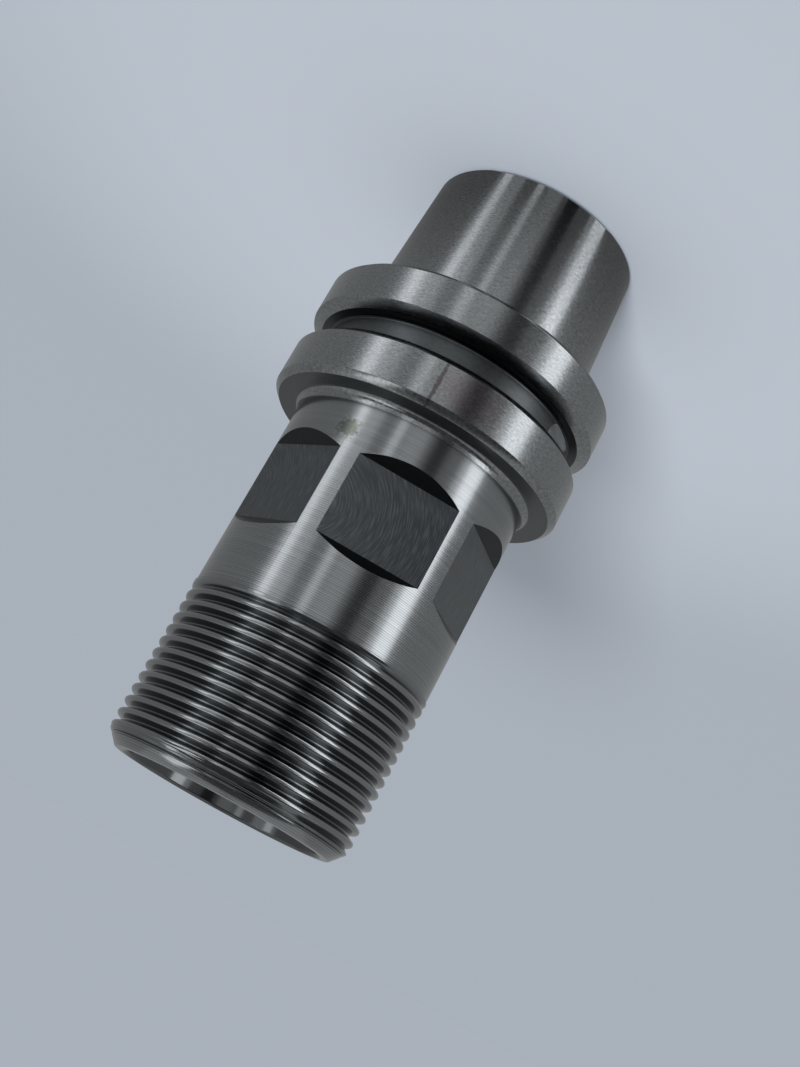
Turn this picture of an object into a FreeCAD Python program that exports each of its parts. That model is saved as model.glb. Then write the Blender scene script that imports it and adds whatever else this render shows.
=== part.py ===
"""Collet chuck holder: a hollow taper shank, a gripper flange, a body with six wrench flats
and a threaded nose with a collet taper, all turned and milled from one piece of steel.

It stands on the open end of its shank. Z runs up through the axis to the mouth of the collet
taper, and the origin is the centre of the shank's end ring. Lengths are millimetres.
"""

import FreeCAD, Part
import math
import os
import re

import Sketcher
from FreeCAD import Placement, Rotation, Vector

DOCUMENT = FreeCAD.newDocument("collet_chuck_holder")
FULL_TURN = 360.0
QUARTER_TURN = FULL_TURN / 4
SAME_PLACE = 1e-4

# ---------------------------------------------------------------- driving dimensions

SIZES = {
    # hollow taper shank
    "shank_length": 20.0,          # end ring to gauge face
    "shank_root_radius": 15.2,     # at the gauge face
    "shank_taper": 0.05,           # radius lost per millimetre towards the end
    "shank_edge": 0.5,             # chamfer of the outer end edge
    "relief_width": 1.0,           # grinding relief where the taper meets the face
    "relief_depth": 0.3,           # into the taper and into the face
    "face_relief": 0.5,            # how far the relief reaches out on the face
    # flange and gripper groove
    "flange_radius": 20.0,
    "flange_width": 16.3,
    "face_edge": 0.6,              # chamfer beside the gauge face
    "front_edge": 0.8,             # chamfer at the body side
    "groove_start": 5.3,           # gauge face to the groove, at full radius
    "groove_mouth": 5.2,
    "groove_depth": 3.0,
    "bevel_depth": 1.6,            # flank on the shank side, radially
    "bevel_rise": 0.8,             # and along the axis
    "groove_chamfer": 1.0,         # chamfer on the body side
    # index slot in the groove floor
    "index_angle": 210.0,
    "index_width": 2.9,
    "index_length": 9.0,
    "index_depth": 0.6,            # below the groove floor
    # body and wrench flats
    "body_radius": 15.85,
    "body_fillet": 1.2,
    "flat_count": 6,
    "flat_distance": 14.35,        # axis to each flat
    "flat_start": 43.5,            # end ring to the flat's lower edge
    "flat_length": 10.6,
    "flat_clearance": 1.0,         # how far the cutter runs outside the body
    # threaded nose
    "overall_length": 85.0,
    "thread_radius": 16.0,
    "thread_length": 21.7,
    "nose_chamfer": 1.3,
    # collet taper and the bore behind it
    "mouth_radius": 13.0,
    "mouth_bevel": 0.35,
    "collet_angle": 8.0,
    "collet_depth": 27.0,
    "back_radius": 9.0,
    "back_depth": 40.0,
    "drill_angle": 59.0,
    # hollow of the shank, up to the coolant bore
    "clamp_radius": 10.5,
    "clamp_bevel": 0.6,
    "clamp_shoulder": 8.58,        # end ring to the start of the clamping shoulder
    "shoulder_angle": 30.0,
    "chamber_radius": 12.75,
    "tube_radius": 5.46,
    "tube_depth": 12.0,
    "coolant_radius": 4.0,
    # how far every cutting profile runs past the face that it opens
    "overrun": 1.0,
}

sheet = DOCUMENT.addObject("Spreadsheet::Sheet", "sizes")
for row, (name, value) in enumerate(SIZES.items(), start=1):
    sheet.set(f"A{row}", name)
    sheet.set(f"B{row}", str(value))
    sheet.setAlias(f"B{row}", name)
DOCUMENT.recompute()

# ---------------------------------------------------------------- the one turned body

body = DOCUMENT.addObject("PartDesign::Body", "holder_body")
body.Label = "holder_body"


def origin_feature(role):
    """One of the body's own origin planes or axes."""
    return next(part for part in body.Origin.OriginFeatures if part.Role == role)


def new_sketch(name, plane):
    sketch = body.newObject("Sketcher::SketchObject", name)
    sketch.AttachmentSupport = [(origin_feature(plane), "")]
    sketch.MapMode = "FlatFace"
    return sketch


def bound(text):
    """A size expression with every name read from the sheet."""
    return re.sub(r"[a-z]+(_[a-z]+)+|overrun", lambda found: "sizes." + found.group(), text)


def amount(text):
    """The present value of a size expression such as 'flange_radius - face_edge'."""
    return float(body.evalExpression(bound(text)))


def pin_corner(sketch, line, across, along):
    """Ties the start of a line to its distances from the axis and from the end ring."""
    for kind, axis, text in (("DistanceX", -2, across), ("DistanceY", -1, along)):
        if text == "0":
            sketch.addConstraint(Sketcher.Constraint("PointOnObject", line, 1, axis))
            continue
        rule = Sketcher.Constraint(kind, -1, 1, line, 1, amount(text))
        place = sketch.addConstraint(rule)
        sketch.setExpression(f"Constraints[{place}]", bound(text))


def draw_profile(name, corners, plane="XZ_Plane"):
    """A closed outline of straight lines through (distance from the axis, height) corners."""
    sketch = new_sketch(name, plane)
    points = [Vector(amount(across), amount(along), 0) for across, along in corners]
    for start, end in zip(points, points[1:] + points[:1]):
        sketch.addGeometry(Part.LineSegment(start, end))
    for line in range(len(corners)):
        before = (line - 1) % len(corners)
        sketch.addConstraint(Sketcher.Constraint("Coincident", before, 2, line, 1))
    for line, (across, along) in enumerate(corners):
        pin_corner(sketch, line, across, along)
    DOCUMENT.recompute()
    return sketch


def check_cut(feature, solid):
    """Stops if the feature failed or left the solid as large as it was."""
    DOCUMENT.recompute()
    if not feature.isValid() or feature.Shape.Volume >= solid.Volume:
        raise RuntimeError(f"{feature.Name} failed or removed nothing")


def turn_away(name, corners):
    """Turns a profile out of the body."""
    solid = body.Shape.copy()
    groove = body.newObject("PartDesign::Groove", name)
    groove.Profile = draw_profile(f"{name}_profile", corners)
    groove.ReferenceAxis = (groove.Profile[0], ["V_Axis"])
    groove.Angle = FULL_TURN
    check_cut(groove, solid)


# Outside: taper shank, gauge face, flange, body and nose, as one turned blank

blank = body.newObject("PartDesign::Revolution", "turned_blank")
blank.Profile = draw_profile("turned_blank_profile", [
    ("0", "0"),
    ("shank_root_radius - shank_length * shank_taper - shank_edge", "0"),
    ("shank_root_radius - shank_length * shank_taper", "shank_edge"),
    ("shank_root_radius - relief_width * shank_taper", "shank_length - relief_width"),
    ("shank_root_radius - relief_depth", "shank_length - relief_width"),
    ("shank_root_radius - relief_depth", "shank_length + relief_depth"),
    ("shank_root_radius + face_relief", "shank_length + relief_depth"),
    ("shank_root_radius + face_relief", "shank_length"),
    ("flange_radius - face_edge", "shank_length"),
    ("flange_radius", "shank_length + face_edge"),
    ("flange_radius", "shank_length + flange_width - front_edge"),
    ("flange_radius - front_edge", "shank_length + flange_width"),
    ("body_radius", "shank_length + flange_width"),
    ("body_radius", "overall_length - thread_length"),
    ("thread_radius", "overall_length - thread_length"),
    ("thread_radius", "overall_length - nose_chamfer"),
    ("thread_radius - nose_chamfer", "overall_length"),
    ("0", "overall_length"),
])
blank.ReferenceAxis = (blank.Profile[0], ["V_Axis"])
blank.Angle = FULL_TURN
DOCUMENT.recompute()

# Gripper groove: a bevelled flank and a wall on the shank side, a wall and a chamfer opposite

turn_away("gripper_groove", [
    ("flange_radius - groove_depth", "shank_length + groove_start + bevel_rise"),
    ("flange_radius - bevel_depth", "shank_length + groove_start + bevel_rise"),
    ("flange_radius", "shank_length + groove_start"),
    ("flange_radius + overrun", "shank_length + groove_start"),
    ("flange_radius + overrun", "shank_length + groove_start + groove_mouth"),
    ("flange_radius", "shank_length + groove_start + groove_mouth"),
    ("flange_radius - groove_chamfer", "shank_length + groove_start + groove_mouth - groove_chamfer"),
    ("flange_radius - groove_depth", "shank_length + groove_start + groove_mouth - groove_chamfer"),
])

# Hollow of the shank: entry bevel, clamp bore, clamping shoulder, chamber, coolant tube socket

turn_away("clamping_hollow", [
    ("0", "-overrun"),
    ("clamp_radius + clamp_bevel + overrun", "-overrun"),
    ("clamp_radius", "clamp_bevel"),
    ("clamp_radius", "clamp_shoulder"),
    ("chamber_radius", "clamp_shoulder + (chamber_radius - clamp_radius) / tan(shoulder_angle)"),
    ("chamber_radius", "shank_length"),
    ("tube_radius", "shank_length"),
    ("tube_radius", "shank_length + tube_depth"),
    ("0", "shank_length + tube_depth"),
])

# Collet taper, the bore behind it and the drilled cone at its end

turn_away("collet_socket", [
    ("0", "overall_length + overrun"),
    ("mouth_radius + mouth_bevel + overrun", "overall_length + overrun"),
    ("mouth_radius", "overall_length - mouth_bevel"),
    ("mouth_radius - (collet_depth - mouth_bevel) * tan(collet_angle)", "overall_length - collet_depth"),
    ("back_radius", "overall_length - collet_depth"),
    ("back_radius", "overall_length - back_depth"),
    ("0", "overall_length - back_depth - back_radius / tan(drill_angle)"),
])

# Coolant bore joining the two

turn_away("coolant_bore", [
    ("0", "shank_length + tube_depth - overrun"),
    ("coolant_radius", "shank_length + tube_depth - overrun"),
    ("coolant_radius", "overall_length - back_depth"),
    ("0", "overall_length - back_depth"),
])

# Rounded foot of the body on the flange's front face

foot_height = amount("shank_length + flange_width")
foot_radius = amount("body_radius")
foot_edges = []
for number, edge in enumerate(body.Shape.Edges, start=1):
    if isinstance(edge.Curve, Part.Circle) and abs(edge.Curve.Radius - foot_radius) < SAME_PLACE:
        if abs(edge.Curve.Center.z - foot_height) < SAME_PLACE:
            foot_edges.append(f"Edge{number}")
foot = body.newObject("PartDesign::Fillet", "body_foot")
foot.Base = (DOCUMENT.getObject("coolant_bore"), foot_edges)
foot.setExpression("Radius", bound("body_fillet"))
DOCUMENT.recompute()

# ---------------------------------------------------------------- wrench flats

# One flat milled with ends that slope at 45 degrees, then the same cut all the way round

END_RUN = "(body_radius + flat_clearance - flat_distance)"
solid = body.Shape.copy()
flat = body.newObject("PartDesign::Pocket", "wrench_flat")
flat.Profile = draw_profile("wrench_flat_profile", [
    ("flat_distance", "flat_start"),
    ("flat_distance", "flat_start + flat_length"),
    ("body_radius + flat_clearance", f"flat_start + flat_length + {END_RUN}"),
    ("body_radius + flat_clearance", f"flat_start - {END_RUN}"),
], plane="YZ_Plane")
flat.Midplane = True
flat.setExpression("Length", "sizes.body_radius * 2")
check_cut(flat, solid)

solid = body.Shape.copy()
flats = body.newObject("PartDesign::PolarPattern", "wrench_flats")
flats.Originals = [flat]
flats.Axis = (flat.Profile[0], ["V_Axis"])
flats.Angle = FULL_TURN
flats.setExpression("Occurrences", "sizes.flat_count")
body.Tip = flats
check_cut(flats, solid)

# ---------------------------------------------------------------- index slot

# A round-ended slot milled across the groove floor, drawn square on at the level of its own floor

slot_sketch = new_sketch("index_slot_profile", "XZ_Plane")
slot_sketch.AttachmentOffset = Placement(Vector(0, 0, 0), Rotation(Vector(0, 1, 0), QUARTER_TURN))
SLOT_TURN = f"(index_angle + {QUARTER_TURN})"
SLOT_FLOOR = "(flange_radius - groove_depth - index_depth)"
slot_sketch.setExpression("AttachmentOffset.Rotation.Angle", bound(SLOT_TURN))
slot_sketch.setExpression("AttachmentOffset.Base.x", bound(f"{SLOT_FLOOR} * sin{SLOT_TURN}"))
slot_sketch.setExpression("AttachmentOffset.Base.z", bound(f"{SLOT_FLOOR} * cos{SLOT_TURN}"))

END_REACH = "(index_length - index_width) / 2"
SLOT_LEVEL = "shank_length + groove_start + (bevel_rise + groove_mouth - groove_chamfer) / 2"
reach = amount(END_REACH)
level = amount(SLOT_LEVEL)
half_width = amount("index_width / 2")
right_end = Part.Circle(Vector(reach, level, 0), Vector(0, 0, 1), half_width)
left_end = Part.Circle(Vector(-reach, level, 0), Vector(0, 0, 1), half_width)
slot_sketch.addGeometry(Part.ArcOfCircle(right_end, -math.pi / 2, math.pi / 2))
slot_sketch.addGeometry(Part.ArcOfCircle(left_end, math.pi / 2, 3 * math.pi / 2))
for side in (1, -1):
    start = Vector(side * reach, level + side * half_width, 0)
    slot_sketch.addGeometry(Part.LineSegment(start, start - Vector(2 * side * reach, 0, 0)))
for rule in (
    ("Tangent", 0, 2, 2, 1),
    ("Tangent", 2, 2, 1, 1),
    ("Tangent", 1, 2, 3, 1),
    ("Tangent", 3, 2, 0, 1),
    ("Horizontal", 2),
    ("Symmetric", 0, 3, 1, 3, -2),
):
    slot_sketch.addConstraint(Sketcher.Constraint(*rule))
for rule, text in (
    (("Radius", 0, half_width), "index_width / 2"),
    (("DistanceX", -1, 1, 0, 3, reach), END_REACH),
    (("DistanceY", -1, 1, 0, 3, level), SLOT_LEVEL),
):
    place = slot_sketch.addConstraint(Sketcher.Constraint(*rule))
    slot_sketch.setExpression(f"Constraints[{place}]", bound(text))
DOCUMENT.recompute()

solid = body.Shape.copy()
slot = body.newObject("PartDesign::Pocket", "index_slot")
slot.Profile = slot_sketch
slot.Reversed = True
slot.setExpression("Length", bound("groove_depth + index_depth"))
body.Tip = slot
check_cut(slot, solid)

# ---------------------------------------------------------------- export

for item in DOCUMENT.Objects:
    if {"Invalid", "Error"} & set(item.State):
        raise RuntimeError(f"{item.Name} is not up to date: {item.State}")
if body.Shape.isNull() or not body.Shape.isValid() or len(body.Shape.Solids) != 1:
    raise RuntimeError("the holder is not one valid solid")

os.makedirs("parts", exist_ok=True)
body.Shape.exportStep("parts/holder_body.step")
print(f"holder_body: {body.Shape.Volume:.0f} cubic millimetres")
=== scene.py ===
"""Collet chuck holder: one hardened steel body, turned, milled, threaded and ground."""

import math

import bmesh
import bpy
from mathutils import Matrix, Vector


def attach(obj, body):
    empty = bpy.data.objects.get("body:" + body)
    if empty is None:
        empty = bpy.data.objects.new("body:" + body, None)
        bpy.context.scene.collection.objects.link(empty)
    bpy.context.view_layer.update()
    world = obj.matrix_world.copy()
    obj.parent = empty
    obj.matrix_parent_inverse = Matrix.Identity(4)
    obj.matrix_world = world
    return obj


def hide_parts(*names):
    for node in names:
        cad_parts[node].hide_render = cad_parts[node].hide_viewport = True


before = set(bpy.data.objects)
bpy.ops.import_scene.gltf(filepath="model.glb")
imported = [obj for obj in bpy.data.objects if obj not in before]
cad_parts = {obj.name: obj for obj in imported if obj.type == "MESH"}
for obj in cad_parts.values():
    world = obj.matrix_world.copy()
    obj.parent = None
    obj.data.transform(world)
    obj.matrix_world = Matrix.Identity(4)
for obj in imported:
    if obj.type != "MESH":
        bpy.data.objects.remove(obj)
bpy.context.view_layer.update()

# ---------------------------------------------------------------- turned blank
# The whole holder is one bar of steel, turned outside and bored from both ends. Its section
# runs from the nose's face down the collet taper, round the shank and flange, to the thread.

MM = 0.001
FULL_TURN = 2 * math.pi
BLANK_STEPS = 360

# (distance from the axis, height, rounding along each side of the corner, rounding segments)
SECTION = (
    (15.72, 83.35, 0, 0),
    (15.66, 83.5, 0.03, 1),
    (15.4, 83.56, 0.02, 1),
    (15.46, 83.7, 0.03, 1),
    (15.24, 83.78, 0.02, 1),
    (15.26, 83.9, 0.03, 1),
    (14.3, 84.96, 0.1, 2),
    (13.35, 85.0, 0.05, 2),
    (13.0, 84.65, 0.08, 2),
    (9.255, 58.0, 0.08, 2),
    (9.0, 58.0, 0.05, 2),
    (9.0, 45.0, 0, 0),
    (4.0, 41.996, 0.1, 2),
    (4.0, 32.0, 0.1, 2),
    (5.46, 32.0, 0, 0),
    (5.46, 20.0, 0.3, 2),
    (12.75, 20.0, 0.6, 4),
    (12.75, 12.477, 0.2, 2),
    (10.5, 8.58, 0.15, 2),
    (10.5, 0.6, 0.1, 2),
    (11.1, 0.0, 0.1, 2),
    (13.7, 0.0, 0.12, 3),
    (14.2, 0.5, 0.12, 3),
    (15.15, 19.0, 0.04, 2),
    (14.9, 19.0, 0, 0),
    (14.9, 20.3, 0.1, 2),
    (15.7, 20.3, 0, 0),
    (15.7, 20.0, 0.04, 2),
    (19.4, 20.0, 0.06, 2),
    (20.0, 20.6, 0.06, 2),
    (20.0, 25.3, 0.05, 2),
    (18.4, 26.1, 0.06, 2),
    (17.0, 26.1, 0.4, 4),
    (17.0, 29.5, 0.4, 4),
    (19.0, 29.5, 0.05, 2),
    (20.0, 30.5, 0.06, 2),
    (20.0, 35.5, 0.07, 2),
    (19.2, 36.3, 0.07, 2),
    (15.85, 36.3, 1.2, 8),
    (15.85, 63.2, 0, 0),
)


def draw_section(bm, corners):
    """A chain of edges through the corners, with the rounded ones rounded."""
    chain = [bm.verts.new((across * MM, 0, along * MM)) for across, along, _, _ in corners]
    for start, end in zip(chain, chain[1:]):
        bm.edges.new((start, end))
    for vert, (_, _, rounding, segments) in zip(chain, corners):
        if rounding:
            bmesh.ops.bevel(bm, geom=[vert], offset=rounding * MM, offset_type="OFFSET",
                            affect="VERTICES", segments=segments, profile=0.5, material=-1)


def spin_all(bm, angle, steps, climb=0.0, merge=True):
    """Turns everything in the mesh about the Z axis, climbing by a height for each full turn."""
    everything = bm.verts[:] + bm.edges[:]
    step_climb = Vector((0, 0, climb * MM * angle / FULL_TURN / steps))
    bmesh.ops.spin(bm, geom=everything, axis=(0, 0, 1), cent=(0, 0, 0), dvec=step_climb,
                   angle=angle, steps=steps, use_merge=merge)


blank = bmesh.new()
draw_section(blank, SECTION)
ends = [vert for vert in blank.verts if len(vert.link_edges) == 1]
blank.edges.new(ends)
blank_turn = Matrix.Rotation(FULL_TURN / BLANK_STEPS / 2, 4, "Z")
bmesh.ops.transform(blank, matrix=blank_turn, verts=blank.verts)
spin_all(blank, FULL_TURN, BLANK_STEPS)
bmesh.ops.recalc_face_normals(blank, faces=blank.faces)

# ---------------------------------------------------------------- index slot
# A round-ended slot milled across the floor of the gripper groove, by which a tool changer
# tells how the holder is turned. A cutter of the slot's shape is taken from the blank.

SLOT_ANGLE = math.radians(210)
SLOT_WIDTH = 2.9
SLOT_LENGTH = 9.0
SLOT_FLOOR = 16.4
SLOT_LEVEL = 27.8
SLOT_REACH = 3.0
NEARLY_HALF = 0.499
NEARLY_WHOLE = 0.99

slot_cutter = bmesh.new()
bmesh.ops.create_cube(slot_cutter, size=MM)
bmesh.ops.scale(slot_cutter, vec=(SLOT_REACH, SLOT_LENGTH, SLOT_WIDTH), verts=slot_cutter.verts)
corner_edges = [
    edge for edge in slot_cutter.edges
    if abs((edge.verts[0].co - edge.verts[1].co).normalized().x) > NEARLY_WHOLE
]
bmesh.ops.bevel(slot_cutter, geom=corner_edges, offset=SLOT_WIDTH * MM * NEARLY_HALF,
                segments=12, affect="EDGES", profile=0.5, material=-1)
slot_place = Matrix.Rotation(SLOT_ANGLE, 4, "Z") @ Matrix.Translation(
    Vector((SLOT_FLOOR + SLOT_REACH / 2, 0, SLOT_LEVEL)) * MM)
bmesh.ops.transform(slot_cutter, matrix=slot_place, verts=slot_cutter.verts)
bmesh.ops.recalc_face_normals(slot_cutter, faces=slot_cutter.faces)


def make_object(bm, name):
    """Turns a mesh in the making into an object of the scene."""
    mesh = bpy.data.meshes.new(name)
    bm.to_mesh(mesh)
    bm.free()
    piece = bpy.data.objects.new(name, mesh)
    bpy.context.scene.collection.objects.link(piece)
    return piece


blank_piece = make_object(blank, "turned_blank")
cutter_piece = make_object(slot_cutter, "slot_cutter")
cut = blank_piece.modifiers.new("index_slot", "BOOLEAN")
cut.object = cutter_piece
cut.operation = "DIFFERENCE"
cut.solver = "EXACT"
slotted = blank_piece.evaluated_get(bpy.context.evaluated_depsgraph_get())
holder = bmesh.new()
holder.from_mesh(slotted.to_mesh())
for helper in (blank_piece, cutter_piece):
    bpy.data.objects.remove(helper)

# ---------------------------------------------------------------- wrench flats
# Six flats for an open-ended wrench, milled round the body with a cutter whose corners leave
# ends that slope at 45 degrees. Each flat is cut along its three planes and closed again.

FLAT_COUNT = 6
FLAT_DISTANCE = 14.35
FLAT_START = 43.5
FLAT_END = 54.1
FLAT_EDGE = 0.05
NEAR = 1e-7
# The faces that a flat may cut: their lowest and highest level, their least distance from the
# axis, and the least cosine of their angle from the middle of the flat
BODY_FOOT = 36
BODY_TOP = 63
BODY_SKIN = 15.5
BODY_FACING = 0.88
# The holder's finishes, by their place in its list of materials
GROUND, MILLED, THREADED, GROOVE, POLISHED, TURNED, SHADED_WALL, SLOT = range(8)


def flat_planes(outward):
    """The floor and the two sloping ends of a flat, as (point, unit normal) pairs."""
    start = outward * FLAT_DISTANCE * MM + Vector((0, 0, FLAT_START * MM))
    end = outward * FLAT_DISTANCE * MM + Vector((0, 0, FLAT_END * MM))
    up = Vector((0, 0, 1))
    return (
        (start, outward),
        (start, (outward + up).normalized()),
        (end, (outward - up).normalized()),
    )


def beyond(point, plane):
    """How far a point lies on the outer side of a plane."""
    return (point - plane[0]).dot(plane[1])


def faces_near_flat(outward):
    """The faces of the body's outside that a flat may cut."""
    near = []
    for face in holder.faces:
        centre = face.calc_center_median()
        away = centre.xy.length
        outside = BODY_FOOT * MM < centre.z < BODY_TOP * MM and away > BODY_SKIN * MM
        if outside and centre.dot(outward) > BODY_FACING * away:
            near.append(face)
    return near


flat_faces = []
for number in range(FLAT_COUNT):
    azimuth = FULL_TURN * number / FLAT_COUNT - math.pi / 2
    outward = Vector((math.cos(azimuth), math.sin(azimuth), 0))
    planes = flat_planes(outward)
    for point, normal in planes:
        near = faces_near_flat(outward)
        cut_geometry = set(near)
        for face in near:
            cut_geometry.update(face.edges)
            cut_geometry.update(face.verts)
        bmesh.ops.bisect_plane(holder, geom=list(cut_geometry), dist=NEAR, plane_co=point,
                               plane_no=normal)
    waste = [
        face for face in holder.faces
        if all(beyond(face.calc_center_median(), plane) > NEAR for plane in planes)
    ]
    bmesh.ops.delete(holder, geom=waste, context="FACES")
    rim = {vert for edge in holder.edges if edge.is_boundary for vert in edge.verts}
    for plane in planes:
        outline = [
            vert for vert in rim
            if abs(beyond(vert.co, plane)) < 2 * NEAR
            and all(beyond(vert.co, other) > -2 * NEAR for other in planes)
        ]
        flat_faces += bmesh.ops.contextual_create(holder, geom=outline)["faces"]

for face in flat_faces:
    face.material_index = MILLED
rims = [
    edge for face in flat_faces for edge in face.edges
    if any(other not in flat_faces for other in edge.link_faces)
]
bmesh.ops.bevel(holder, geom=list(set(rims)), offset=FLAT_EDGE * MM, segments=2, affect="EDGES",
                profile=0.5, material=-1, clamp_overlap=False)

# ---------------------------------------------------------------- nut thread
# A right-hand thread for the clamping nut, cut over the whole nose. It runs out at the body
# in a few shallow turns, and fades into a plain land before the chamfer of the nose.

PITCH = 1.6
THREAD_STEPS = 180
CREST = 16.0
ROOT = 15.02
CREST_LEVEL = 71.63
THREAD_TOP = 83.3
THREAD_FOOT = 63.3
RUN_OUT = 1.5
LAND = 0.8
LAND_DROP = 0.2
EXTRA_TURNS = 3
SAME_POINT = 0.002
# The band of the blank that the thread replaces: its faces' lowest and highest level, and their
# least distance from the axis
BAND_FOOT = 64
BAND_TOP = 80
BAND_SKIN = 15
RIM_REACH = 0.2

# One turn, in the same form as the blank's section
THREAD_SECTION = (
    (ROOT, -PITCH / 2, 0, 0),
    (ROOT, -0.71, 0.05, 2),
    (CREST, -0.24, 0.23, 4),
    (CREST, 0.24, 0.23, 4),
    (ROOT, 0.71, 0.05, 2),
    (ROOT, PITCH / 2, 0, 0),
)

thread = bmesh.new()
draw_section(thread, THREAD_SECTION)
turns = math.ceil((THREAD_TOP - THREAD_FOOT) / PITCH) + EXTRA_TURNS
start_level = CREST_LEVEL - PITCH * (math.ceil((CREST_LEVEL - THREAD_FOOT) / PITCH) + 1)
bmesh.ops.translate(thread, vec=(0, 0, start_level * MM), verts=thread.verts)
spin_all(thread, FULL_TURN, THREAD_STEPS, climb=PITCH, merge=False)
one_turn = thread.verts[:] + thread.edges[:] + thread.faces[:]
for turn in range(1, turns):
    copy = bmesh.ops.duplicate(thread, geom=one_turn)["geom"]
    copied = [item for item in copy if isinstance(item, bmesh.types.BMVert)]
    bmesh.ops.translate(thread, vec=(0, 0, PITCH * MM * turn), verts=copied)
bmesh.ops.remove_doubles(thread, verts=thread.verts, dist=SAME_POINT * MM)
for level, normal in ((THREAD_FOOT, -1), (THREAD_TOP, 1)):
    everything = thread.verts[:] + thread.edges[:] + thread.faces[:]
    bmesh.ops.bisect_plane(thread, geom=everything, dist=NEAR, plane_co=(0, 0, level * MM),
                           plane_no=(0, 0, normal), clear_outer=True)
for vert in thread.verts:
    radius = vert.co.xy.length
    level = vert.co.z / MM
    to_top = (THREAD_TOP - level) / LAND
    fade = max(0.0, min(1.0, (level - THREAD_FOOT) / RUN_OUT, to_top))
    drop = LAND_DROP * max(0.0, 1 - to_top)
    wanted = (CREST - (CREST - radius / MM) * fade - drop) * MM
    vert.co.xy *= wanted / radius

thread_mesh = bpy.data.meshes.new("thread_part")
for face in thread.faces:
    face.material_index = THREADED
thread.to_mesh(thread_mesh)
thread.free()
band = [
    face for face in holder.faces
    if BAND_FOOT * MM < face.calc_center_median().z < BAND_TOP * MM
    and face.calc_center_median().xy.length > BAND_SKIN * MM
]
bmesh.ops.delete(holder, geom=band, context="FACES")
holder.from_mesh(thread_mesh)
bpy.data.meshes.remove(thread_mesh)
open_edges = [edge for edge in holder.edges if edge.is_boundary]
for level in (THREAD_FOOT, THREAD_TOP):
    rims = [edge for edge in open_edges if abs(edge.verts[0].co.z / MM - level) < RIM_REACH]
    bmesh.ops.bridge_loops(holder, edges=rims)
bmesh.ops.recalc_face_normals(holder, faces=holder.faces)

# ---------------------------------------------------------------- finished holder
# One piece of hardened steel. The ground outside, the turned body, the milled flats, the thread,
# the dark gripper groove and the polished collet taper each keep the marks of their own tool.
# Painted shade darkens the thread's flanks and roots, the flats' sloping ends, the groove's walls
# and the collar's level ledge. A few stains and a scratch of use are kept too.

# Where the finishes end: distances from the axis and levels
BORE_SIDE = 13.4
GROOVE_SIDE = 19.95
GROOVE_FOOT = 25.9
GROOVE_TOP = 29.6
SLOT_SIDE = 16.95
LEDGE_FOOT = 36.2
LEDGE_TOP = 36.5
BODY_START = 37.5
THREAD_END = 83.92
# How far a face's normal is turned along the axis, on the flats' ends, walls and ledge
END_TURN = 0.3
WALL_TURN = 0.5
LEDGE_TURN = 0.9
# The angles between faces from which an edge is drawn sharp
SHARP = math.radians(46)
SHARP_MILLED = math.radians(20)


def finish_of(face):
    """Which finish a face has, by where it lies on the holder. The flats' ends, the groove's
    walls and the collar's level ledge get dark finishes as painted shade.
    """
    centre = face.calc_center_median() / MM
    radius, level = centre.xy.length, centre.z
    if face.material_index == MILLED:
        # Painted shade: the flats' sloping ends get the near-black finish
        return SHADED_WALL if abs(face.normal.z) > END_TURN else MILLED
    if face.material_index == THREADED:
        return THREADED
    if radius < BORE_SIDE:
        return POLISHED
    if radius < GROOVE_SIDE and GROOVE_FOOT < level < GROOVE_TOP:
        if radius < SLOT_SIDE:
            return SLOT
        # Painted shade: the groove's walls get the near-black finish, and its floor keeps the
        # dark groove finish
        return SHADED_WALL if abs(face.normal.z) > WALL_TURN else GROOVE
    # Painted shade: the collar's level ledge takes the dark groove finish
    if LEDGE_FOOT < level < LEDGE_TOP and face.normal.z > LEDGE_TURN:
        return GROOVE
    if THREAD_FOOT < level < THREAD_END:
        return THREADED
    return TURNED if level > BODY_START else GROUND


for face in holder.faces:
    face.material_index = finish_of(face)
    face.smooth = True
for edge in holder.edges:
    milled = all(face.material_index == MILLED for face in edge.link_faces)
    edge.smooth = edge.calc_face_angle(0) < (SHARP_MILLED if milled else SHARP)

holder_piece = make_object(holder, "holder")
weighted = holder_piece.modifiers.new("flat_shading", "WEIGHTED_NORMAL")
weighted.keep_sharp = True
weighted.weight = 50


def new_group(name, inputs, output):
    """An empty shader node group: the group, its inputs and the socket that it puts out."""
    group = bpy.data.node_groups.new(name, "ShaderNodeTree")
    for socket, value in inputs.items():
        made = group.interface.new_socket(socket, in_out="INPUT", socket_type="NodeSocketFloat")
        made.default_value = value
    group.interface.new_socket(output, in_out="OUTPUT", socket_type="NodeSocketFloat")
    given = group.nodes.new("NodeGroupInput").outputs
    return group, given, group.nodes.new("NodeGroupOutput").inputs[output]


def feed(tree, socket, value):
    """Links a socket to another, or gives it a value."""
    if isinstance(value, bpy.types.NodeSocket):
        tree.links.new(value, socket)
    else:
        socket.default_value = value


def math_node(tree, operation, *values):
    """A Math node on sockets or numbers, giving its output."""
    node = tree.nodes.new("ShaderNodeMath")
    node.operation = operation
    for socket, value in zip(node.inputs, values):
        feed(tree, socket, value)
    return node.outputs[0]


def map_range(tree, value, start, end, low=0.0, high=1.0, interpolation="LINEAR"):
    """A Map Range node from start..end to low..high, giving its output."""
    node = tree.nodes.new("ShaderNodeMapRange")
    node.interpolation_type = interpolation
    for name, given in (("Value", value), ("From Min", start), ("From Max", end),
                        ("To Min", low), ("To Max", high)):
        feed(tree, node.inputs[name], given)
    return node.outputs["Result"]


def mix_colours(tree, factor, first, second, blend="MIX"):
    """A Mix node on two colours, giving its output."""
    node = tree.nodes.new("ShaderNodeMix")
    node.data_type = "RGBA"
    node.blend_type = blend
    for name, given in (("Factor", factor), ("A", first), ("B", second)):
        feed(tree, node.inputs[name], given)
    return node.outputs["Result"]


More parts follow.
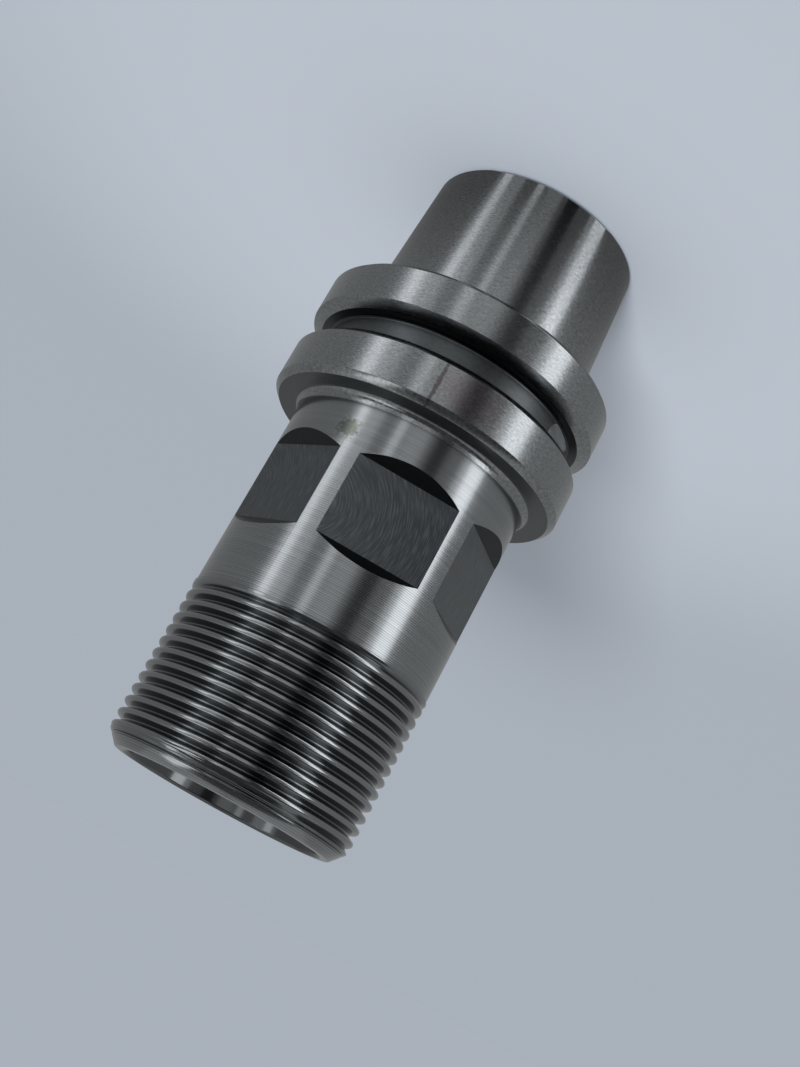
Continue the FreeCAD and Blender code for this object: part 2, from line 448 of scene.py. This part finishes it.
def noise(tree, vector, scale=1.0, detail=2.0):
    """A Noise node on a vector, giving its output."""
    node = tree.nodes.new("ShaderNodeTexNoise")
    node.inputs["Scale"].default_value = scale
    node.inputs["Detail"].default_value = detail
    tree.links.new(vector, node.inputs["Vector"])
    return node.outputs["Fac"]


def stretched_noise(tree, detail, *axes):
    """Noise at a place given as a (socket, scale) pair for each axis."""
    vector = tree.nodes.new("ShaderNodeCombineXYZ")
    for socket, (value, scale) in zip(vector.inputs, axes):
        tree.links.new(math_node(tree, "MULTIPLY", value, scale), socket)
    return noise(tree, vector.outputs[0], detail=detail)


def own_place(tree):
    """The object's own coordinates."""
    return tree.nodes.new("ShaderNodeTexCoord").outputs["Object"]


def length_of(tree, first, second):
    """The length of a line with these two sides."""
    squares = math_node(tree, "MULTIPLY", first, first)
    return math_node(tree, "SQRT", math_node(tree, "MULTIPLY_ADD", second, second, squares))


def place_on_holder(tree):
    """The X, Y and Z of the place on the holder, and its distance from the axis."""
    split = tree.nodes.new("ShaderNodeSeparateXYZ")
    tree.links.new(own_place(tree), split.inputs[0])
    x, y, z = split.outputs
    return x, y, z, length_of(tree, x, y)


# Marks that run round the axis, as a grinding wheel or a turning tool leaves them. Part of the
# distance from the axis is added to the height, so level faces have marks too.
LEVEL_SHARE = 0.7
MARKS_DETAIL = 3.0
round_marks, given, marks_out = new_group(
    "round_marks", {"Along": 9000.0, "Around": 1000.0}, "Marks")
x, y, z, radius = place_on_holder(round_marks)
rise = math_node(round_marks, "MULTIPLY_ADD", radius, LEVEL_SHARE, z)
fine = stretched_noise(round_marks, MARKS_DETAIL, (x, given["Around"]), (y, given["Around"]),
                       (rise, given["Along"]))
round_marks.links.new(fine, marks_out)

# Fine even rings with some unevenness along them, as a single-point tool leaves them. They grow
# from faint to deep between two levels.
RING_PITCH = 0.26
RING_WANDER = 4.0
RING_MIDDLE = 0.3
RING_UNEVEN = 0.4
FAINT_LEVEL, DEEP_LEVEL = 42, 54
FAINT, DEEP = 0.03, 0.17
turning_marks, given, marks_out = new_group(
    "turning_marks", {"Along": 3000.0, "Around": 60.0}, "Marks")
x, y, z, radius = place_on_holder(turning_marks)
fine = stretched_noise(turning_marks, MARKS_DETAIL, (x, given["Around"]), (y, given["Around"]),
                       (z, given["Along"]))
even_phase = math_node(turning_marks, "MULTIPLY", z, FULL_TURN / (RING_PITCH * MM))
phase = math_node(turning_marks, "MULTIPLY_ADD", fine, RING_WANDER, even_phase)
wave = math_node(turning_marks, "SINE", phase)
strength = map_range(turning_marks, z, FAINT_LEVEL * MM, DEEP_LEVEL * MM, FAINT, DEEP)
rings = math_node(turning_marks, "MULTIPLY_ADD", wave, strength, RING_MIDDLE)
uneven_rings = math_node(turning_marks, "MULTIPLY_ADD", fine, RING_UNEVEN, rings)
turning_marks.links.new(uneven_rings, marks_out)

# Short curved strokes across each flat, as a face mill leaves them, round a middle beside it
STROKE_LEVEL = 51
STROKE_SIDE = 9
STROKE_DETAIL = 4.0
STROKE_LOW, STROKE_HIGH = 0.45, 0.75
HALF_SIXTH = math.radians(30)
arc_marks, given, marks_out = new_group("arc_marks", {"Along": 3500.0, "Around": 500.0}, "Marks")
x, y, z, radius = place_on_holder(arc_marks)
turn = math_node(arc_marks, "WRAP", math_node(arc_marks, "ARCTAN2", x, y),
                 HALF_SIXTH, -HALF_SIXTH)
across = math_node(arc_marks, "MULTIPLY", math_node(arc_marks, "SINE", turn), radius)
from_middle = math_node(arc_marks, "SUBTRACT", z, STROKE_LEVEL * MM)
from_side = math_node(arc_marks, "ADD", across, STROKE_SIDE * MM)
stroke = length_of(arc_marks, from_side, from_middle)
fine = stretched_noise(arc_marks, STROKE_DETAIL, (stroke, given["Along"]), (z, given["Around"]))
arc_marks.links.new(map_range(arc_marks, fine, STROKE_LOW, STROKE_HIGH), marks_out)

# How near a place in the thread is to the crest. Away from the crest, the flanks and roots
# get painted shade.
flank_shade, given, unshaded_out = new_group(
    "flank_shade", {"Root": 15.5 * MM, "Crest": 15.98 * MM}, "Unshaded")
*_, radius = place_on_holder(flank_shade)
unshaded = map_range(flank_shade, radius, given["Root"], given["Crest"], interpolation="SMOOTHSTEP")
flank_shade.links.new(unshaded, unshaded_out)
GLOSS_SWING = 0.1


def steel(name, colour, roughness, marks, along, around, depth, uneven):
    """A steel finish with the marks of a tool, in its height, its colour and its gloss."""
    material = bpy.data.materials.new(name)
    material.use_nodes = True
    tree = material.node_tree
    shader = tree.nodes["Principled BSDF"].inputs
    shader["Metallic"].default_value = 1.0
    group = tree.nodes.new("ShaderNodeGroup")
    group.node_tree = marks
    group.inputs["Along"].default_value = along
    group.inputs["Around"].default_value = around
    fine = group.outputs["Marks"]
    dark = (*[channel * (1 - uneven) for channel in colour], 1)
    light = (*[channel * (1 + uneven) for channel in colour], 1)
    tree.links.new(mix_colours(tree, fine, dark, light), shader["Base Color"])
    rough = math_node(tree, "MULTIPLY_ADD", fine, GLOSS_SWING, roughness - GLOSS_SWING / 2)
    tree.links.new(rough, shader["Roughness"])
    bump = tree.nodes.new("ShaderNodeBump")
    bump.inputs["Distance"].default_value = depth * MM
    tree.links.new(fine, bump.inputs["Height"])
    tree.links.new(bump.outputs["Normal"], shader["Normal"])
    return material


def paint_flank_shade(material, dark):
    """Paints shade into a thread's finish, darker away from the crest on the flanks and in the
    roots.
    """
    tree = material.node_tree
    colour = tree.nodes["Principled BSDF"].inputs["Base Color"]
    group = tree.nodes.new("ShaderNodeGroup")
    group.node_tree = flank_shade
    bright = colour.links[0].from_socket
    tree.links.new(mix_colours(tree, group.outputs["Unshaded"], (*dark, 1), bright), colour)


# A stain's grain, how far the grain moves its edge, and where it fades out and is whole
STAIN_GRAIN = 2500.0
STAIN_RAGGED = 1.6
STAIN_OUT, STAIN_WHOLE = 1.9, 1.4


def stain(material, x_middle, z_middle, x_size, z_size, tint):
    """Tints an uneven oval patch on the front of the holder, sizes in millimetres."""
    tree = material.node_tree
    colour = tree.nodes["Principled BSDF"].inputs["Base Color"]
    x, y, z, _ = place_on_holder(tree)
    across = math_node(tree, "MULTIPLY_ADD", x, 1 / (x_size * MM), -x_middle / x_size)
    level = math_node(tree, "MULTIPLY_ADD", z, 1 / (z_size * MM), -z_middle / z_size)
    fine = noise(tree, own_place(tree), scale=STAIN_GRAIN)
    from_middle = length_of(tree, level, across)
    reach = math_node(tree, "MULTIPLY_ADD", fine, STAIN_RAGGED, from_middle)
    patch = map_range(tree, reach, STAIN_OUT, STAIN_WHOLE)
    mask = math_node(tree, "MULTIPLY", patch, math_node(tree, "LESS_THAN", y, 0.0))
    clean = colour.links[0].from_socket
    tree.links.new(mix_colours(tree, mask, clean, (*tint, 1), "MULTIPLY"), colour)


ground = steel("ground_steel", (0.30, 0.31, 0.32), 0.22, round_marks, 9000, 2200, 0.0016, 0.6)
milled = steel("milled_steel", (0.16, 0.172, 0.184), 0.4, arc_marks, 5500, 450, 0.006, 0.3)
threaded = steel("threaded_steel", (0.27, 0.28, 0.29), 0.15, round_marks, 9000, 60, 0.0004, 0.1)
groove = steel("groove_steel", (0.115, 0.123, 0.128), 0.4, round_marks, 3000, 1500, 0.003, 0.3)
polished = steel("polished_steel", (0.13, 0.135, 0.14), 0.13, round_marks, 3000, 100, 0.0004, 0.1)
turned = steel("turned_steel", (0.30, 0.31, 0.32), 0.19, turning_marks, 3000, 60, 0.002, 0.45)
# Near-black steel for the flats' sloping ends and the groove's walls. It is painted shade, since
# they are the same steel as the faces beside them.
painted_wall_shade = steel("wall_shade_steel", (0.035, 0.037, 0.04), 0.3, round_marks, 3000, 1500, 0.001, 0.2)
slot = steel("slot_steel", (0.6, 0.62, 0.65), 0.35, round_marks, 3000, 1500, 0.001, 0.1)

# Painted shade on the thread's flanks and roots, which are darker than its crests
paint_flank_shade(threaded, (0.15, 0.156, 0.162))
# A pink patch and a dark scratch on the front collar, and a yellowish stain on the body
stain(ground, -1.0, 32.8, 4.4, 2.8, (0.97, 0.86, 0.88))
stain(ground, 3.1, 33.2, 0.3, 3.8, (0.48, 0.44, 0.45))
stain(turned, 9.3, 40.9, 1.3, 1.3, (0.53, 0.54, 0.46))

# In the order of GROUND, MILLED, THREADED, GROOVE, POLISHED, TURNED, the painted wall shade and
# SLOT
for material in (ground, milled, threaded, groove, polished, turned, painted_wall_shade, slot):
    holder_piece.data.materials.append(material)

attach(holder_piece, "root")
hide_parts("holder_body")

# ---------------------------------------------------------------- floor, light and camera
# A pale floor that meets a background of the same colour, under a soft sky and a wide soft lamp.
# Near the holder the floor is painted lighter, a painted pool of light that thins the holder's
# shadow.
# Grey, white and black studio cards lie round the holder and over it. They are seen only
# in its steel, where they draw long bright and dark bands.

BACKGROUND = (0.40, 0.44, 0.50)
FLOOR_PAINT = (0.48, 0.53, 0.60)
# Painted light: near the holder the floor is painted lighter, fading to its own paint between the
# two reaches
NEAR_PAINTED_LIGHT = (0.64, 0.70, 0.79)
NEAR_REACH, FAR_REACH = 20, 150
FLOOR_SIZE = 20
SKY_LIGHT = 0.47
bpy.context.scene.view_settings.view_transform = "Standard"

floor_bm = bmesh.new()
bmesh.ops.create_grid(floor_bm, x_segments=1, y_segments=1, size=FLOOR_SIZE)
floor = make_object(floor_bm, "floor")
floor_paint = bpy.data.materials.new("floor_paint")
floor_paint.use_nodes = True
floor_tree = floor_paint.node_tree
floor_shader = floor_tree.nodes["Principled BSDF"].inputs
*_, radius = place_on_holder(floor_tree)
# Painted light on the floor: lighter near the holder's axis, the floor's own paint far away
away = map_range(floor_tree, radius, NEAR_REACH * MM, FAR_REACH * MM, interpolation="SMOOTHSTEP")
painted_floor_light = mix_colours(floor_tree, away, (*NEAR_PAINTED_LIGHT, 1), (*FLOOR_PAINT, 1))
floor_tree.links.new(painted_floor_light, floor_shader["Base Color"])
floor_shader["Roughness"].default_value = 0.9
floor_shader["Specular IOR Level"].default_value = 0.0
floor.data.materials.append(floor_paint)

world = bpy.data.worlds.new("studio")
bpy.context.scene.world = world
world.use_nodes = True
world.cycles.sampling_method = "NONE"
sky_tree = world.node_tree
sky = sky_tree.nodes["Background"]
sky.inputs["Color"].default_value = (1, 1, 1, 1)
sky.inputs["Strength"].default_value = SKY_LIGHT
backdrop = sky_tree.nodes.new("ShaderNodeBackground")
backdrop.inputs["Color"].default_value = (*BACKGROUND, 1)
rays = sky_tree.nodes.new("ShaderNodeLightPath")
seen = math_node(sky_tree, "MAXIMUM", rays.outputs["Is Camera Ray"], math_node(
    sky_tree, "MAXIMUM", rays.outputs["Is Glossy Ray"], rays.outputs["Is Transmission Ray"]))
choose = sky_tree.nodes.new("ShaderNodeMixShader")
sky_tree.links.new(seen, choose.inputs["Fac"])
sky_tree.links.new(sky.outputs[0], choose.inputs[1])
sky_tree.links.new(backdrop.outputs[0], choose.inputs[2])
sky_tree.links.new(choose.outputs[0], sky_tree.nodes["World Output"].inputs["Surface"])

lamp = bpy.data.lights.new("soft_lamp", "SUN")
lamp.energy = 2.6
lamp.angle = math.radians(18)
lamp_stand = bpy.data.objects.new("soft_lamp", lamp)
lamp_from = Vector((0.31, -0.95, 0.47))
lamp_stand.matrix_world = lamp_from.to_track_quat("Z", "Y").to_matrix().to_4x4()
lamp_stand.visible_glossy = False
bpy.context.scene.collection.objects.link(lamp_stand)

CAMERA_PLACE = Vector((11.88, -167.06, 94.74))
CARD_FOOT = 14.5
CARD_REACH = 900
CARD_HEIGHT = 500
CARD_LIFT = Vector((0, 0, 0.2))
CARD_COLOUR = (0.96, 0.99, 1.0)
# A card's glow rises from this share of its brightness, between these distances from the axis
FOOT_GLOW = 0.5
GLOW_START, GLOW_END = 18, 45
# (start and end across the turned steel, from -1 at its left edge to 1 at its right; brightness)
CARDS = (
    (-1.00, -0.56, 0.30),
    (-0.56, -0.52, 0.60),
    (-0.52, -0.45, 1.90),
    (-0.45, -0.33, 0.75),
    (-0.33, -0.21, 0.32),
    (-0.21, -0.15, 1.20),
    (-0.15, -0.10, 0.42),
    (-0.10, 0.04, 0.58),
    (0.04, 0.09, 0.25),
    (0.09, 0.21, 0.05),
    (0.21, 0.34, 0.25),
    (0.34, 0.40, 0.80),
    (0.40, 0.52, 2.40),
    (0.52, 1.00, 0.33),
)


def card_line(across):
    """Where a reflection at a place across the steel comes from, as its start and direction."""
    to_camera = math.atan2(CAMERA_PLACE.y, CAMERA_PLACE.x)
    azimuth = to_camera - math.asin(across)
    normal = Vector((math.cos(azimuth), math.sin(azimuth), 0))
    start = normal * CARD_FOOT
    sight = (start - CAMERA_PLACE) * Vector((1, 1, 0))
    return start, sight.reflect(normal).normalized()


def light_card(card, name, brightness):
    """A card that glows, less near the holder's foot, and is seen only in the steel."""
    piece = make_object(card, name)
    paint = bpy.data.materials.new(name)
    paint.use_nodes = True
    paint.cycles.emission_sampling = "NONE"
    tree = paint.node_tree
    tree.nodes.remove(tree.nodes["Principled BSDF"])
    glow = tree.nodes.new("ShaderNodeEmission")
    glow.inputs["Color"].default_value = (*CARD_COLOUR, 1)
    *_, radius = place_on_holder(tree)
    shine = map_range(tree, radius, GLOW_START * MM, GLOW_END * MM, brightness * FOOT_GLOW,
                      brightness)
    tree.links.new(shine, glow.inputs["Strength"])
    tree.links.new(glow.outputs[0], tree.nodes["Material Output"].inputs["Surface"])
    piece.data.materials.append(paint)
    piece.visible_camera = False
    piece.visible_diffuse = False
    piece.visible_shadow = False
    piece.visible_transmission = False


def standing_card(name, start, end, brightness):
    """A card that lies on the floor from the holder outwards and then stands up."""
    card = bmesh.new()
    foot, far = [], []
    for across in (start, end):
        origin, direction = card_line(across)
        foot.append(card.verts.new((origin + CARD_LIFT) * MM))
        far.append(card.verts.new((origin + direction * CARD_REACH + CARD_LIFT) * MM))
    card.faces.new((foot[0], foot[1], far[1], far[0]))
    wall = bmesh.ops.extrude_edge_only(card, edges=[card.edges.get(far)])["geom"]
    raised = [item for item in wall if isinstance(item, bmesh.types.BMVert)]
    bmesh.ops.translate(card, vec=(0, 0, CARD_HEIGHT * MM), verts=raised)
    light_card(card, name, brightness)


for number, (start, end, brightness) in enumerate(CARDS, start=1):
    standing_card(f"card_{number:02d}", start, end, brightness)

# (middle and size along X and Y, height, brightness) of the cards overhead, in millimetres
OVERHEAD = (
    (0, -645, 2400, 1110, 500, 0.08),
    (0, 555, 2400, 1290, 500, 0.45),
    (330, -140, 160, 320, 480, 1.6),
)
for number, (*middle, x_size, y_size, height, brightness) in enumerate(OVERHEAD, start=1):
    card = bmesh.new()
    bmesh.ops.create_grid(card, x_segments=1, y_segments=1, size=0.5)
    bmesh.ops.scale(card, vec=(x_size * MM, y_size * MM, 1), verts=card.verts)
    bmesh.ops.translate(card, vec=Vector((*middle, height)) * MM, verts=card.verts)
    light_card(card, f"overhead_card_{number}", brightness)

FOCAL = 46.84
camera_data = bpy.data.cameras.new("camera")
camera_data.lens = FOCAL
camera_data.sensor_width = 36
camera_data.clip_start = 0.01
camera = bpy.data.objects.new("camera", camera_data)
right = Vector((-0.86121, -0.21425, -0.46092))
up = Vector((0.50095, -0.20426, -0.84104))
back = Vector((0.08604, -0.95520, 0.28321))
facing = Matrix((right, up, back)).transposed().to_4x4()
camera.matrix_world = Matrix.Translation(CAMERA_PLACE * MM) @ facing
bpy.context.scene.collection.objects.link(camera)
bpy.context.scene.camera = camera
